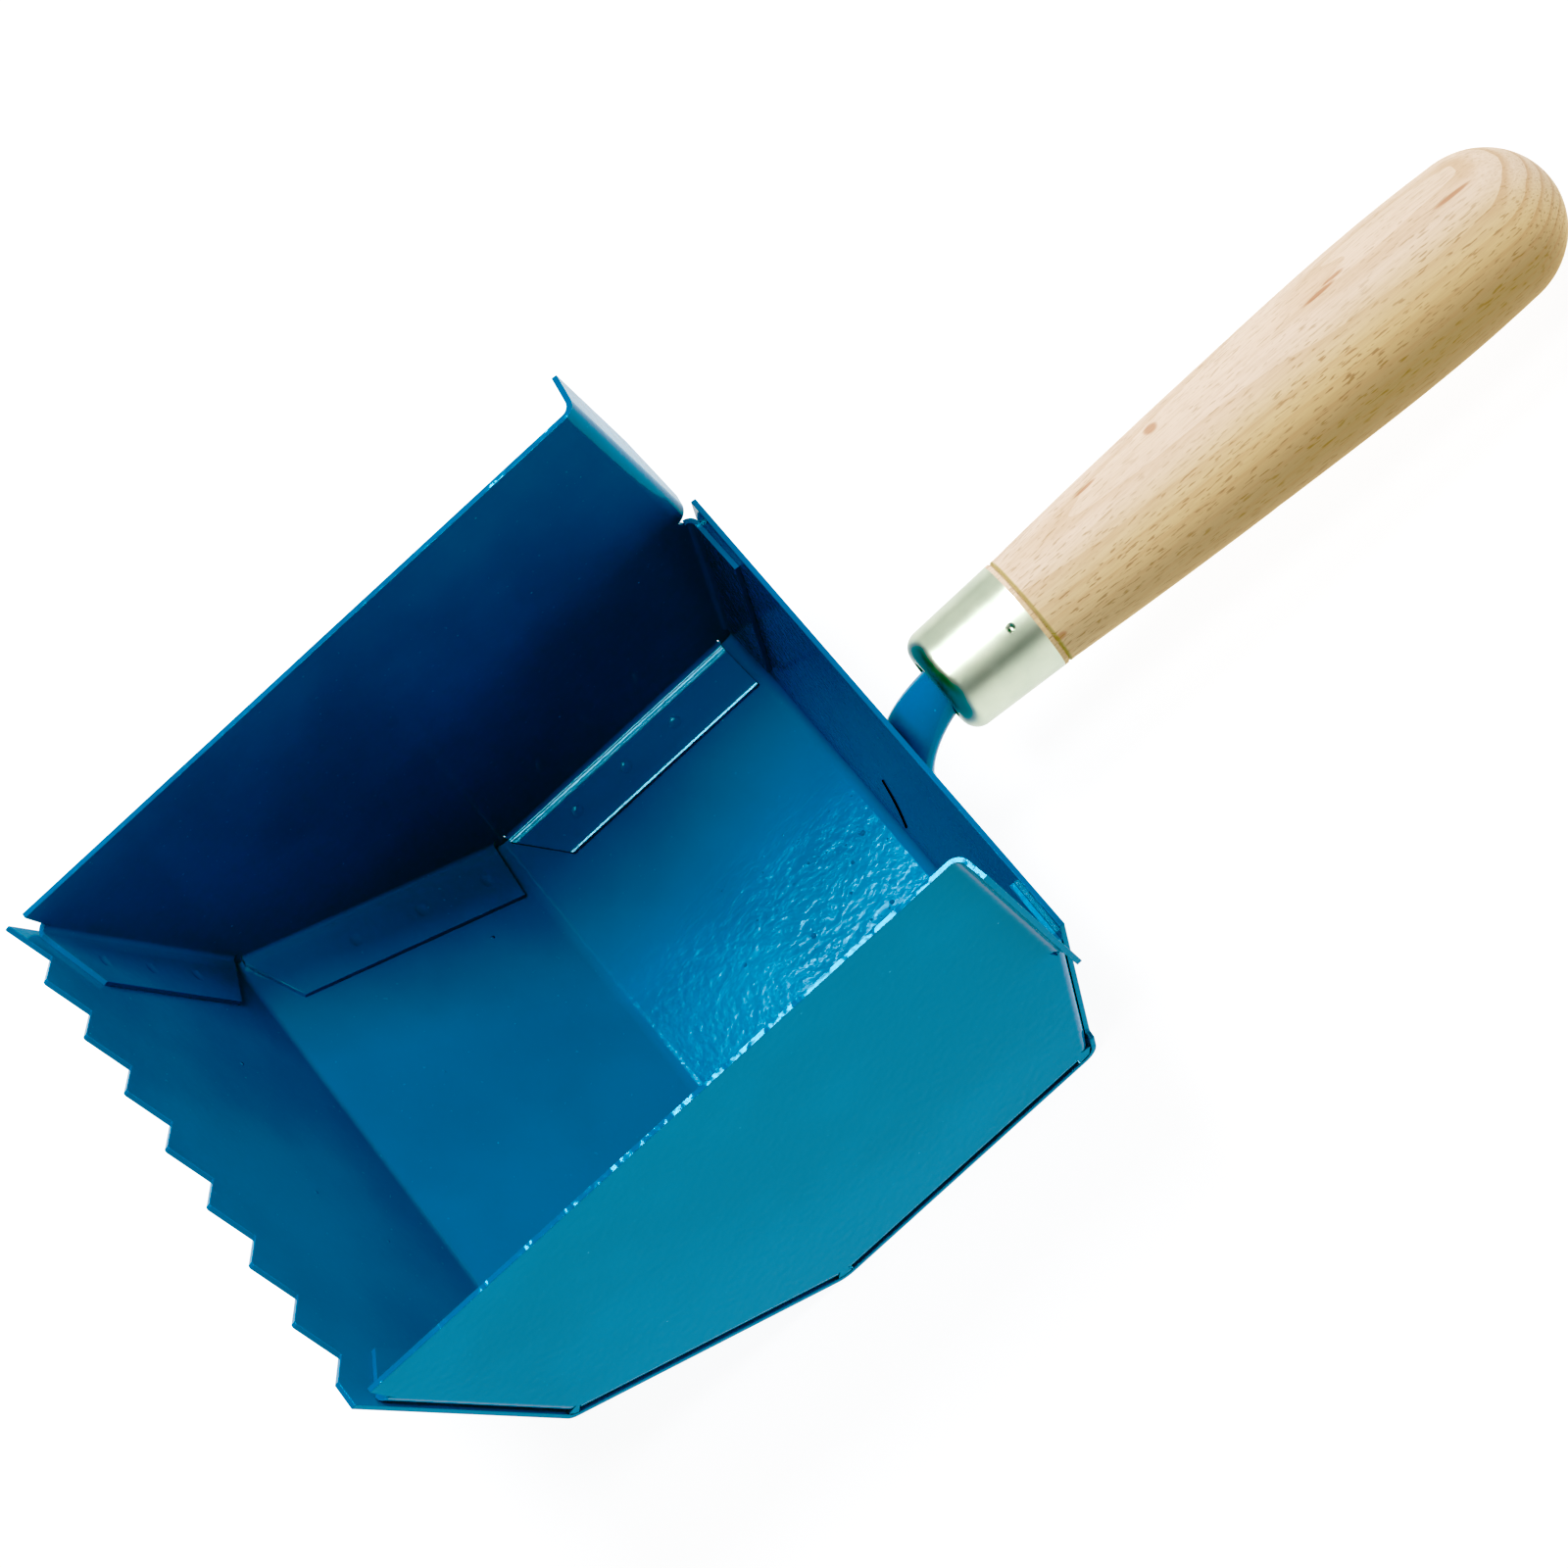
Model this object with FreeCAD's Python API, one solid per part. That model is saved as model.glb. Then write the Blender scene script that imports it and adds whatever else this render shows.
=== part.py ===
import FreeCAD, Part
import math
import os

# Notched mortar scoop trowel, millimetres and degrees.
# +X is the right side, -Y the toothed lip, +Y the handle, +Z up out of the open rim.
# The origin is the centre of the rear floor's underside, on which the tool rests.

V = FreeCAD.Vector

# ---- Driving dimensions of the folded strip ----
SCOOP_WIDTH = 115.0
SHEET = 1.0
RIM_HEIGHT = 94.0
REAR_FLOOR_LENGTH = 60.8
FRONT_FLOOR_LENGTH = 59.2
FRONT_FLOOR_RISE = 35.0
LIP_SLOPE = 75.0
BACK_PANEL_LENGTH = 48.0
BACK_PANEL_SLOPE = 74.5
FRONT_BEND_RADIUS = 2.5
MIDDLE_BEND_RADIUS = 5.0
REAR_BEND_RADIUS = 2.5
BACK_PANEL_INSET = 1.2
BACK_PANEL_STEP_HEIGHT = 6.5

# ---- Teeth of the lip ----
TOOTH_COUNT = 8
TOOTH_DEPTH = 6.4
TOOTH_TIP_WIDTH = 0.6
LIP_END_LAND = 5.0

# ---- Side plates ----
FLANGE_BEND_RADIUS = 1.2
LIP_FLANGE_WIDTH = 13.0
FRONT_FLANGE_WIDTH = 13.8
REAR_FLANGE_WIDTH = 13.2
BACK_FLANGE_WIDTH = 15.5
RIM_CORNER_SETBACK = 0.8
RELIEF_SLIT = 0.25
EAR_ANGLE = 81.0
EAR_BEND_RADIUS = 2.0
EAR_SETBACK = 4.6
EAR_HEIGHT = 50.5
EAR_NOTCH = 2.5
RIGHT_EAR_REACH = 5.8
RIGHT_EAR_FOOT_REACH = 4.9
RIGHT_EAR_TAPER_HEIGHT = 45.0
LEFT_EAR_REACH = 7.0
LEFT_EAR_FOOT_REACH = 3.6
LEFT_EAR_TAPER_HEIGHT = 20.0

# ---- Spot welds ----
WELDS_PER_ROW = 3
NUGGET_RADIUS = 2.2
NUGGET_HALF_THICKNESS = 0.6
DIMPLE_RADIUS = 1.6
DIMPLE_RIM_RADIUS = 1.9
DIMPLE_DEPTH = 0.25

# ---- Handle, measured along its own axis from where it meets the back panel ----
AXIS_HEIGHT_AT_PANEL = 35.7
HANDLE_DROOP = 5.0
FERRULE_STANDOFF = 12.6
FERRULE_LENGTH = 20.3
FERRULE_REAR_RADIUS = 11.25
FERRULE_FRONT_RADIUS = 10.4
FERRULE_FRONT_LAND = 0.85
FERRULE_WALL = 0.8
FERRULE_CRIMP_INSET = 4.0
FERRULE_CRIMP_RADIUS = 1.1
FERRULE_CRIMP_DEPTH = 0.5
FERRULE_CRIMP_ANGLE = 28.0
GRIP_LENGTH = 121.6
GRIP_BELLY_RADIUS = 15.45
GRIP_BUTT_RADIUS = 15.0
GRIP_BUTT_LENGTH = 15.6
# Share of the swell reached at each quarter of the way from the ferrule to the butt.
GRIP_SWELL_SHARES = (0.46, 0.78, 1.0)
GRIP_GROOVE_OFFSET = 1.1
GRIP_GROOVE_DEPTH = 0.35
GRIP_FRONT_GAP = 0.3

# ---- Tang ----
TANG_RADIUS = 4.5
TANG_NECK_SECTIONS = 7
TANG_BEND_RADIUS = 19.0
TANG_FOOT_HALF_WIDTH = 6.6
TANG_FOOT_HALF_THICKNESS = 3.6
TANG_FOOT_BEDDING = 0.4
TANG_FOOT_LENGTH = 12.0
TANG_FOOT_END_LENGTH = 4.0
SPIKE_STRAIGHT = 30.0
SPIKE_TAPER = 52.0
SPIKE_TIP_RADIUS = 2.0
TANG_HOLE_CLEARANCE = 0.15
WELD_LEG = 2.3
WELD_LENGTH = 21.0
WELD_CREST_SETBACK = 2.9

# ---- Values that follow from the ones above ----
HALF_WIDTH = SCOOP_WIDTH / 2
BEND_OUTER_RADIUS = FLANGE_BEND_RADIUS + SHEET
TOOTH_PITCH = (SCOOP_WIDTH - LIP_END_LAND) / TOOTH_COUNT
CUT_DEPTH = 3 * SHEET
INNER_BEND_RADII = [FRONT_BEND_RADIUS, MIDDLE_BEND_RADIUS, REAR_BEND_RADIUS]


def slope(angle):
    """Unit vector in the YZ plane that climbs at the given angle towards +Y."""
    return V(0, math.cos(math.radians(angle)), math.sin(math.radians(angle)))


def inward(direction):
    """Normal of a strip segment on the side of the scoop's inside."""
    return V(0, -direction.z, direction.y)


def strip_corners():
    """Sharp outer corners of the strip: lip edge, front, middle and rear bends, back panel top."""
    middle = V(0, -REAR_FLOOR_LENGTH / 2, 0)
    rear = V(0, REAR_FLOOR_LENGTH / 2, 0)
    front = middle - slope(-FRONT_FLOOR_RISE) * FRONT_FLOOR_LENGTH
    lip_length = (RIM_HEIGHT - front.z) / math.sin(math.radians(LIP_SLOPE))
    lip_edge = front - slope(-LIP_SLOPE) * lip_length
    panel_top = rear + slope(BACK_PANEL_SLOPE) * BACK_PANEL_LENGTH
    return [lip_edge, front, middle, rear, panel_top]


def offset_corners(corners, distance):
    """The same path moved to its inside by a distance, with its corners kept sharp."""
    normals = []
    for start, end in zip(corners, corners[1:]):
        normals.append(inward((end - start).normalize()))
    moved = [corners[0] + normals[0] * distance]
    for corner, before, after in zip(corners[1:], normals, normals[1:]):
        moved.append(corner + (before + after) * (distance / (1 + before.dot(after))))
    moved.append(corners[-1] + normals[-1] * distance)
    return moved


def rounded_path(corners, radii):
    """Edges along the corners, with a tangent arc of the given radius at each inner corner."""
    edges = []
    start = corners[0]
    for i, radius in enumerate(radii, 1):
        before = (corners[i] - corners[i - 1]).normalize()
        after = (corners[i + 1] - corners[i]).normalize()
        half_turn = before.getAngle(after) / 2
        tangent = radius * math.tan(half_turn)
        enter = corners[i] - before * tangent
        leave = corners[i] + after * tangent
        to_centre = (after - before).normalize()
        middle = corners[i] + to_centre * (radius / math.cos(half_turn) - radius)
        edges.append(Part.makeLine(start, enter))
        edges.append(Part.Arc(enter, middle, leave).toShape())
        start = leave
    edges.append(Part.makeLine(start, corners[-1]))
    return edges


def polygon(points):
    """Closed flat face through the points."""
    return Part.Face(Part.makePolygon(points + points[:1]))


OUTER = strip_corners()
SEAT = offset_corners(OUTER, SHEET)
PLATE_EDGE = offset_corners(OUTER, SHEET + BEND_OUTER_RADIUS)


def tooth_notches():
    """Prisms that cut the V notches, square to the lip."""
    down = (OUTER[1] - OUTER[0]).normalize()
    across = inward(down)
    half_mouth = (TOOTH_PITCH - TOOTH_TIP_WIDTH) / 2
    # The V is carried past the lip's edge by one tooth depth, so that it cuts clean.
    wide = 2 * half_mouth
    notches = []
    for i in range(TOOTH_COUNT):
        centre = OUTER[0] + V(-HALF_WIDTH + (i + 0.5) * TOOTH_PITCH, 0, 0) - across * SHEET
        mouth = centre - down * TOOTH_DEPTH
        root = centre + down * TOOTH_DEPTH
        face = polygon([mouth - V(wide, 0, 0), mouth + V(wide, 0, 0), root])
        notches.append(face.extrude(across * CUT_DEPTH))
    return notches


def panel_side_trims():
    """Blocks that narrow the back panel on both sides, above its step."""
    up = slope(BACK_PANEL_SLOPE)
    across = inward(up)
    start = OUTER[3] + up * BACK_PANEL_STEP_HEIGHT - across * SHEET
    trims = []
    for side in (-1, 1):
        inner = side * (HALF_WIDTH - BACK_PANEL_INSET)
        outer = side * (HALF_WIDTH + SHEET)
        foot = start + V(inner, 0, 0)
        shoulder = start + V(outer, 0, 0) - up * BACK_PANEL_INSET
        head = up * BACK_PANEL_LENGTH
        face = polygon([foot, shoulder, shoulder + head, foot + head])
        trims.append(face.extrude(across * CUT_DEPTH))
    return trims


def seat_frame(segment):
    """Start point, direction, inward normal and length of a strip segment's inner face."""
    start = SEAT[segment]
    run = SEAT[segment + 1] - start
    length = run.Length
    direction = run.normalize()
    return start, direction, inward(direction), length


def bend_tangents():
    """Length that each bend's inner arc takes from the seats beside it, by corner of the strip."""
    tangents = {0: 0.0, 4: 0.0}
    for corner, radius in enumerate(INNER_BEND_RADII, 1):
        before = SEAT[corner] - SEAT[corner - 1]
        after = SEAT[corner + 1] - SEAT[corner]
        tangents[corner] = radius * math.tan(before.getAngle(after) / 2)
    return tangents


class Flange:
    """One flange of a side plate and the weld row on it.

    crease_ends and free_ends are the gaps left at the start and end of the seat, past any bend.
    welds are the distances along the seat of the row's first and last spot.
    """

    def __init__(self, name, segment, width, crease_ends, free_ends, welds):
        tangents = bend_tangents()
        beside = (tangents[segment], tangents[segment + 1])
        self.name = name
        self.segment = segment
        self.width = width
        self.crease_ends = [gap + bend for gap, bend in zip(crease_ends, beside)]
        self.free_ends = [gap + bend for gap, bend in zip(free_ends, beside)]
        self.welds = welds

    def weld_points(self, side):
        """Centres of the row's welds, on the seat."""
        start, along, _, _ = seat_frame(self.segment)
        first, last = self.welds
        middle_of_flange = (self.width + FLANGE_BEND_RADIUS) / 2
        points = []
        for i in range(WELDS_PER_ROW):
            reach = first + (last - first) * i / (WELDS_PER_ROW - 1)
            points.append(start + along * reach + V(side * (HALF_WIDTH - middle_of_flange), 0, 0))
        return points


FLANGES = [
    Flange("lip", 0, LIP_FLANGE_WIDTH, (7.0, 1.0), (15.5, 8.0), (19.5, 45.0)),
    Flange("front_floor", 1, FRONT_FLANGE_WIDTH, (0.4, 0.3), (6.3, 1.4), (22.0, 51.0)),
    Flange("rear_floor", 2, REAR_FLANGE_WIDTH, (0.3, 1.2), (8.4, 0.6), (15.5, 40.5)),
    Flange("back", 3, BACK_FLANGE_WIDTH, (1.2, 5.6), (3.6, 4.6), (15.0, 34.0)),
]


def flange_solid(flange):
    """Bend and flat of one flange on the right-hand plate."""
    start, along, up, length = seat_frame(flange.segment)
    edge = V(HALF_WIDTH, 0, 0)
    inner = V(-1, 0, 0)
    crease_start = flange.crease_ends[0]
    crease_end = length - flange.crease_ends[1]
    free_start = flange.free_ends[0]
    free_end = length - flange.free_ends[1]

    # The bend is a quarter ring round an axis above the seat.
    origin = start + edge + along * crease_start
    axis = origin + inner * BEND_OUTER_RADIUS + up * BEND_OUTER_RADIUS
    diagonal = (inner + up).normalize()
    outer_arc = Part.Arc(axis - inner * BEND_OUTER_RADIUS, axis - diagonal * BEND_OUTER_RADIUS,
                         axis - up * BEND_OUTER_RADIUS).toShape()
    inner_arc = Part.Arc(axis - up * FLANGE_BEND_RADIUS, axis - diagonal * FLANGE_BEND_RADIUS,
                         axis - inner * FLANGE_BEND_RADIUS).toShape()
    foot_cap = Part.makeLine(axis - up * BEND_OUTER_RADIUS, axis - up * FLANGE_BEND_RADIUS)
    head_cap = Part.makeLine(axis - inner * FLANGE_BEND_RADIUS, axis - inner * BEND_OUTER_RADIUS)
    section = Part.Face(Part.Wire([outer_arc, foot_cap, inner_arc, head_cap]))
    bend = section.extrude(along * (crease_end - crease_start))

    # The flat lies on the seat, with slanted ends.
    base = start + edge
    near = inner * BEND_OUTER_RADIUS
    far = inner * flange.width
    flat = polygon([base + near + along * crease_start, base + far + along * free_start,
                    base + far + along * free_end, base + near + along * crease_end])
    return bend.fuse(flat.extrude(up * SHEET))


def point_on_edge(segment, height):
    """Point at a height on the line where a side plate's flat ends."""
    start = PLATE_EDGE[segment]
    end = PLATE_EDGE[segment + 1]
    return start + (end - start) * ((height - start.z) / (end.z - start.z))


def corner_tab(corner):
    """Outline of the plate between two flanges, down to the strip's inner bend, a slit away from each."""
    _, before, up_before, _ = seat_frame(corner - 1)
    _, after, up_after, _ = seat_frame(corner)
    radius = INNER_BEND_RADII[corner - 1]
    half_turn = before.getAngle(after) / 2
    to_centre = (after - before).normalize()
    back = before * (FLANGES[corner - 1].crease_ends[1] - RELIEF_SLIT)
    ahead = after * (FLANGES[corner].crease_ends[0] - RELIEF_SLIT)
    bend_middle = SEAT[corner] + to_centre * (radius / math.cos(half_turn) - radius + RELIEF_SLIT)
    return [
        SEAT[corner] - back + up_before * BEND_OUTER_RADIUS,
        SEAT[corner] - back + up_before * RELIEF_SLIT,
        bend_middle,
        SEAT[corner] + ahead + up_after * RELIEF_SLIT,
        SEAT[corner] + ahead + up_after * BEND_OUTER_RADIUS,
    ]


def ear_crease_y():
    """Where the plate's flat ends and the ear's bend begins."""
    panel_rim = SEAT[4]
    return panel_rim.y - EAR_SETBACK


def plate_flat():
    """Flat of the right-hand plate, between the bends."""
    ear_foot = RIM_HEIGHT - EAR_HEIGHT
    crease_y = ear_crease_y()
    rim_front = point_on_edge(0, RIM_HEIGHT) + V(0, RIM_CORNER_SETBACK, 0)
    _, lip_down, _, _ = seat_frame(0)
    lip_flange_top = RIM_HEIGHT + lip_down.z * FLANGES[0].crease_ends[0]
    outline = [
        rim_front,
        point_on_edge(0, lip_flange_top),
        *corner_tab(1),
        *corner_tab(2),
        *corner_tab(3),
        point_on_edge(3, ear_foot - EAR_NOTCH),
        V(0, crease_y, ear_foot),
        V(0, crease_y, RIM_HEIGHT),
    ]
    face = polygon([p + V(HALF_WIDTH - SHEET, 0, 0) for p in outline])
    return face.extrude(V(SHEET, 0, 0))


class Ear:
    """Rear ear of a side plate: how far it stands out at its top and foot, and how high it tapers."""

    def __init__(self, reach, foot_reach, taper_height):
        self.reach = reach
        self.foot_reach = foot_reach
        self.taper_height = taper_height


RIGHT_EAR = Ear(RIGHT_EAR_REACH, RIGHT_EAR_FOOT_REACH, RIGHT_EAR_TAPER_HEIGHT)
LEFT_EAR = Ear(LEFT_EAR_REACH, LEFT_EAR_FOOT_REACH, LEFT_EAR_TAPER_HEIGHT)


def ear_outside(ear, foot_height):
    """Block outside the ear's edge, which cuts its taper."""
    low = V(HALF_WIDTH + ear.foot_reach, 0, foot_height)
    high = V(HALF_WIDTH + ear.reach, 0, foot_height + ear.taper_height)
    below = low + (low - high) * (1 / ear.taper_height)
    before = V(0, ear_crease_y() - ear.reach, 0)
    far = V(2 * ear.reach, 0, 0)
    wedge = polygon([before + below, before + high, before + high + far, before + below + far])
    return wedge.extrude(V(0, 3 * ear.reach, 0))


def ear_solid(ear):
    """Ear of a right-hand plate: a bend outward and a straight strip, cut to its taper."""
    foot_height = RIM_HEIGHT - EAR_HEIGHT
    convex_radius = EAR_BEND_RADIUS + SHEET
    centre = V(HALF_WIDTH + EAR_BEND_RADIUS, ear_crease_y(), foot_height)

    def around(radius, angle):
        a = math.radians(angle)
        return centre + V(-radius * math.cos(a), radius * math.sin(a), 0)

    turn = math.radians(EAR_ANGLE)
    outward = V(math.sin(turn), math.cos(turn), 0)
    convex_end = around(convex_radius, EAR_ANGLE)
    concave_end = around(EAR_BEND_RADIUS, EAR_ANGLE)
    strip = outward * ((HALF_WIDTH + ear.reach - convex_end.x) / outward.x)
    convex = Part.Arc(around(convex_radius, 0), around(convex_radius, EAR_ANGLE / 2), convex_end)
    concave = Part.Arc(concave_end, around(EAR_BEND_RADIUS, EAR_ANGLE / 2), around(EAR_BEND_RADIUS, 0))
    outline = Part.Wire([
        convex.toShape(),
        Part.makeLine(convex_end, convex_end + strip),
        Part.makeLine(convex_end + strip, concave_end + strip),
        Part.makeLine(concave_end + strip, concave_end),
        concave.toShape(),
        Part.makeLine(around(EAR_BEND_RADIUS, 0), around(convex_radius, 0)),
    ])
    solid = Part.Face(outline).extrude(V(0, 0, EAR_HEIGHT))
    return solid.cut(ear_outside(ear, foot_height))


def nugget_at(point, normal):
    """A weld nugget: a lens that lies half in each sheet."""
    sphere_radius = (NUGGET_RADIUS ** 2 + NUGGET_HALF_THICKNESS ** 2) / (2 * NUGGET_HALF_THICKNESS)
    shift = sphere_radius - NUGGET_HALF_THICKNESS
    above = Part.makeSphere(sphere_radius, point + normal * shift)
    below = Part.makeSphere(sphere_radius, point - normal * shift)
    return above.common(below)


def dimple_at(point, normal):
    """The shallow dent that a welding electrode leaves in a face."""
    sphere_radius = (DIMPLE_RADIUS ** 2 + DIMPLE_DEPTH ** 2) / (2 * DIMPLE_DEPTH)
    ball = Part.makeSphere(sphere_radius, point + normal * (sphere_radius - DIMPLE_DEPTH))
    below = point - normal * (2 * DIMPLE_DEPTH)
    return ball.common(Part.makeCylinder(DIMPLE_RIM_RADIUS, 3 * DIMPLE_DEPTH, below, normal))


def weld_row(flange, side):
    """The nuggets of one weld row, as separate solids."""
    normal = seat_frame(flange.segment)[2]
    return [nugget_at(point, normal) for point in flange.weld_points(side)]


def side_plate(ear):
    """Right-hand side plate with its flanges, ear, weld pockets and dents."""
    plate = plate_flat().fuse([flange_solid(flange) for flange in FLANGES] + [ear_solid(ear)])
    tools = []
    for flange in FLANGES:
        normal = seat_frame(flange.segment)[2]
        tools += weld_row(flange, 1)
        tools += [dimple_at(point + normal * SHEET, normal) for point in flange.weld_points(1)]
    return plate.cut(tools).removeSplitter()


def mirrored(shape):
    """The same shape on the other side of the middle plane."""
    return shape.mirror(V(0, 0, 0), V(1, 0, 0))


def scoop_sheet():
    """The folded strip: toothed lip, front floor, rear floor and back panel."""
    outer_radii = [radius + SHEET for radius in INNER_BEND_RADII]
    outside = rounded_path(OUTER, outer_radii)
    inside = rounded_path(SEAT, INNER_BEND_RADII)
    caps = [Part.makeLine(OUTER[0], SEAT[0]), Part.makeLine(OUTER[-1], SEAT[-1])]
    section = Part.Face(Part.Wire(Part.__sortEdges__(outside + inside + caps)))
    section.translate(V(-HALF_WIDTH, 0, 0))
    strip = section.extrude(V(SCOOP_WIDTH, 0, 0))
    pockets = []
    for flange in FLANGES:
        for side in (-1, 1):
            pockets += weld_row(flange, side)
    return strip.cut(tooth_notches() + panel_side_trims() + pockets)


# ---- Handle axis ----

def axis_start():
    """Point where the handle's axis crosses the outer face of the back panel."""
    up = slope(BACK_PANEL_SLOPE)
    return OUTER[3] + up * (AXIS_HEIGHT_AT_PANEL / up.z)


AXIS_ORIGIN = axis_start()
AXIS = slope(-HANDLE_DROOP)
AXIS_SIDE = inward(AXIS)
RIM_STATION = FERRULE_STANDOFF + FERRULE_LENGTH


def on_axis(station, radius=0.0):
    """Point at a station along the handle's axis, and a radius above it."""
    return AXIS_ORIGIN + AXIS * station + AXIS_SIDE * radius


def turned(edges):
    """Solid of revolution about the handle's axis."""
    face = Part.Face(Part.Wire(edges))
    return face.revolve(AXIS_ORIGIN, AXIS, 360)


def line(*points):
    """Edges of an open path through the points."""
    return [Part.makeLine(a, b) for a, b in zip(points, points[1:])]


def corner_arc(start, centre, end):
    """Quarter arc from start to end about a centre."""
    middle = ((start - centre) + (end - centre)).normalize() * (start - centre).Length
    return Part.Arc(start, centre + middle, end).toShape()


def tang_depth_at_ferrule():
    """How far the curved neck's underside lies below the axis where it leaves the ferrule."""
    reach = tang_arc_start() - FERRULE_STANDOFF
    inner_radius = TANG_BEND_RADIUS - TANG_RADIUS
    return TANG_BEND_RADIUS - math.sqrt(inner_radius ** 2 - reach ** 2)


def tang_turn():
    """Angle between the forward handle axis and the downward back panel."""
    return math.radians(BACK_PANEL_SLOPE + HANDLE_DROOP)


def tang_arc_start():
    """Station where the neck begins to curve towards the panel."""
    foot_height = TANG_FOOT_HALF_THICKNESS - TANG_FOOT_BEDDING
    corner = foot_height / math.sin(tang_turn())
    return corner + TANG_BEND_RADIUS * math.tan(tang_turn() / 2)


TANG_HOLE_RADIUS = tang_depth_at_ferrule() + TANG_HOLE_CLEARANCE
FERRULE_CORNER_RADIUS = FERRULE_FRONT_RADIUS - FERRULE_FRONT_LAND - TANG_HOLE_RADIUS


def ferrule_crimp():
    """Ball that punches the ferrule's dimple."""
    station = RIM_STATION - FERRULE_CRIMP_INSET
    taper = (FERRULE_REAR_RADIUS - FERRULE_FRONT_RADIUS) / FERRULE_LENGTH
    wall_radius = FERRULE_REAR_RADIUS - taper * FERRULE_CRIMP_INSET
    turn = math.radians(FERRULE_CRIMP_ANGLE)
    direction = AXIS_SIDE * math.cos(turn) + V(math.sin(turn), 0, 0)
    reach = wall_radius + FERRULE_CRIMP_RADIUS - FERRULE_CRIMP_DEPTH
    return Part.makeSphere(FERRULE_CRIMP_RADIUS, on_axis(station) + direction * reach)


def ferrule():
    """Drawn cap: tapered wall, rounded front corner and a front hole for the tang."""
    front = FERRULE_STANDOFF
    inside = front + FERRULE_WALL
    shoulder = front + FERRULE_CORNER_RADIUS
    inner_front = FERRULE_FRONT_RADIUS - FERRULE_WALL
    inner_rear = FERRULE_REAR_RADIUS - FERRULE_WALL
    # The corner's two arcs share one centre.
    lip = FERRULE_FRONT_RADIUS - FERRULE_CORNER_RADIUS
    centre = on_axis(shoulder, lip)
    edges = line(on_axis(inside, lip), on_axis(inside, TANG_HOLE_RADIUS), on_axis(front, TANG_HOLE_RADIUS),
                 on_axis(front, lip))
    edges.append(corner_arc(on_axis(front, lip), centre, on_axis(shoulder, FERRULE_FRONT_RADIUS)))
    edges += line(on_axis(shoulder, FERRULE_FRONT_RADIUS), on_axis(RIM_STATION, FERRULE_REAR_RADIUS),
                  on_axis(RIM_STATION, inner_rear), on_axis(shoulder, inner_front))
    edges.append(corner_arc(on_axis(shoulder, inner_front), centre, on_axis(inside, lip)))
    return turned(edges).cut(ferrule_crimp())


def grip_swell():
    """Curve of the grip from the ferrule to the start of its rounded butt."""
    butt_start = GRIP_LENGTH - GRIP_BUTT_LENGTH
    rise = GRIP_BELLY_RADIUS - FERRULE_REAR_RADIUS
    points = [on_axis(RIM_STATION + 2 * GRIP_GROOVE_OFFSET, FERRULE_REAR_RADIUS)]
    for i, share in enumerate(GRIP_SWELL_SHARES, 1):
        station = RIM_STATION + butt_start * i / (len(GRIP_SWELL_SHARES) + 1)
        points.append(on_axis(station + GRIP_BUTT_LENGTH / 4, FERRULE_REAR_RADIUS + rise * share))
    points.append(on_axis(RIM_STATION + butt_start, GRIP_BUTT_RADIUS))
    curve = Part.BSplineCurve()
    curve.interpolate(points)
    return curve.toShape()


def grip_butt():
    """Quarter ellipse of the butt, from the swell to the axis."""
    centre = on_axis(RIM_STATION + GRIP_LENGTH - GRIP_BUTT_LENGTH)
    tip = on_axis(RIM_STATION + GRIP_LENGTH)
    shoulder = centre + AXIS_SIDE * GRIP_BUTT_RADIUS
    ellipse = Part.Ellipse(tip, shoulder, centre)
    return Part.ArcOfEllipse(ellipse, 0, math.pi / 2).toShape()


def grip():
    """Turned handle: spigot, shoulder with a scribed groove, swell, butt and a blind bore."""
    front = FERRULE_STANDOFF + FERRULE_WALL + GRIP_FRONT_GAP
    inner_corner = FERRULE_CORNER_RADIUS - FERRULE_WALL
    seat_front = FERRULE_STANDOFF + FERRULE_CORNER_RADIUS
    inner_front = FERRULE_FRONT_RADIUS - FERRULE_WALL
    inner_rear = FERRULE_REAR_RADIUS - FERRULE_WALL
    groove = RIM_STATION + GRIP_GROOVE_OFFSET
    swell_start = RIM_STATION + 2 * GRIP_GROOVE_OFFSET
    mouth_end = tang_arc_start()
    taper_start = mouth_end + SPIKE_STRAIGHT
    spike_end = taper_start + SPIKE_TAPER
    outline = line(on_axis(front, TANG_HOLE_RADIUS), on_axis(front, inner_front - inner_corner),
                   on_axis(seat_front, inner_front), on_axis(RIM_STATION, inner_rear),
                   on_axis(RIM_STATION, FERRULE_REAR_RADIUS),
                   on_axis(groove - GRIP_GROOVE_DEPTH, FERRULE_REAR_RADIUS),
                   on_axis(groove, FERRULE_REAR_RADIUS - GRIP_GROOVE_DEPTH),
                   on_axis(groove + GRIP_GROOVE_DEPTH, FERRULE_REAR_RADIUS),
                   on_axis(swell_start, FERRULE_REAR_RADIUS))
    outline += [grip_swell(), grip_butt()]
    outline += line(on_axis(RIM_STATION + GRIP_LENGTH), on_axis(spike_end),
                    on_axis(spike_end, SPIKE_TIP_RADIUS), on_axis(taper_start, TANG_RADIUS),
                    on_axis(mouth_end, TANG_RADIUS), on_axis(mouth_end, TANG_HOLE_RADIUS),
                    on_axis(front, TANG_HOLE_RADIUS))
    return turned(Part.__sortEdges__(outline)).cut(ferrule_crimp())


def panel_frame():
    """Downward direction along the back panel's outer face, and its outward normal."""
    down = slope(BACK_PANEL_SLOPE) * -1
    outward = inward(slope(BACK_PANEL_SLOPE)) * -1
    return down, outward


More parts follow.
